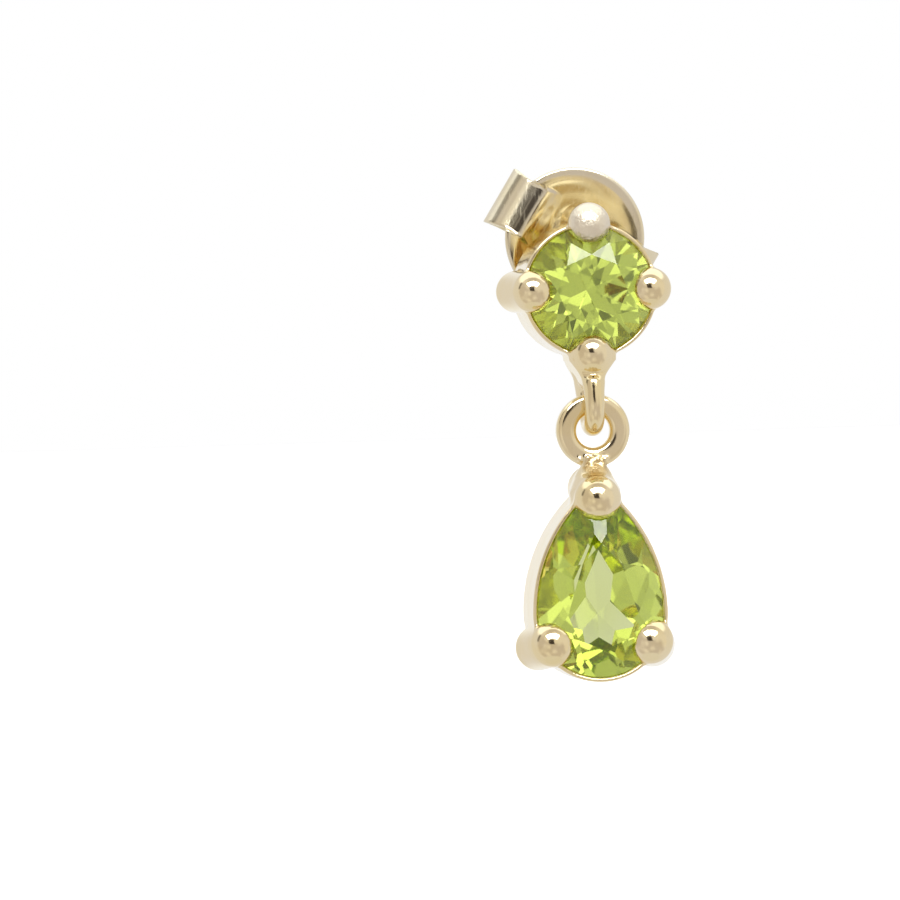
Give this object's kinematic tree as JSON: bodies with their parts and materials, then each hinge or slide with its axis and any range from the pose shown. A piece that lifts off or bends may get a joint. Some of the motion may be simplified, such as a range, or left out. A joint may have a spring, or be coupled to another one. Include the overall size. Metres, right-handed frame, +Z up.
{
  "type": "drop earring",
  "caption": "Gold stud earring with a round green stone on a post and push back, and a pear green stone swinging below it on a soldered ring.",
  "frame": {"origin": "on the ear post's axis, in the plane of the stud setting's back", "axes": "+Z up, +X to the viewer's right, +Y back along the ear post; the stones face -Y"},
  "size_m": [0.0058, 0.0138, 0.0164],
  "materials": {
    "gold": "polished yellow gold, softly worn",
    "peridot": "faceted, polished, lime green"
  },
  "bodies": {
    "stud": {"stud_setting": "gold", "stud_stone": "peridot"},
    "drop": {"drop_setting": "gold", "drop_stone": "peridot"},
    "nut": {"push_back": "gold"}
  },
  "joints": [
    {"name": "drop_swing", "type": "hinge", "parent": "stud", "child": "drop", "pos_m": [0, -0.00228, -0.00526], "axis": [1, 0, 0], "range_deg": [-90, 85]},
    {"name": "push_back_slide", "type": "slide", "parent": "stud", "child": "nut", "axis": [0, 1, 0], "range_m": [-0.0005, 0.0105]}
  ]
}
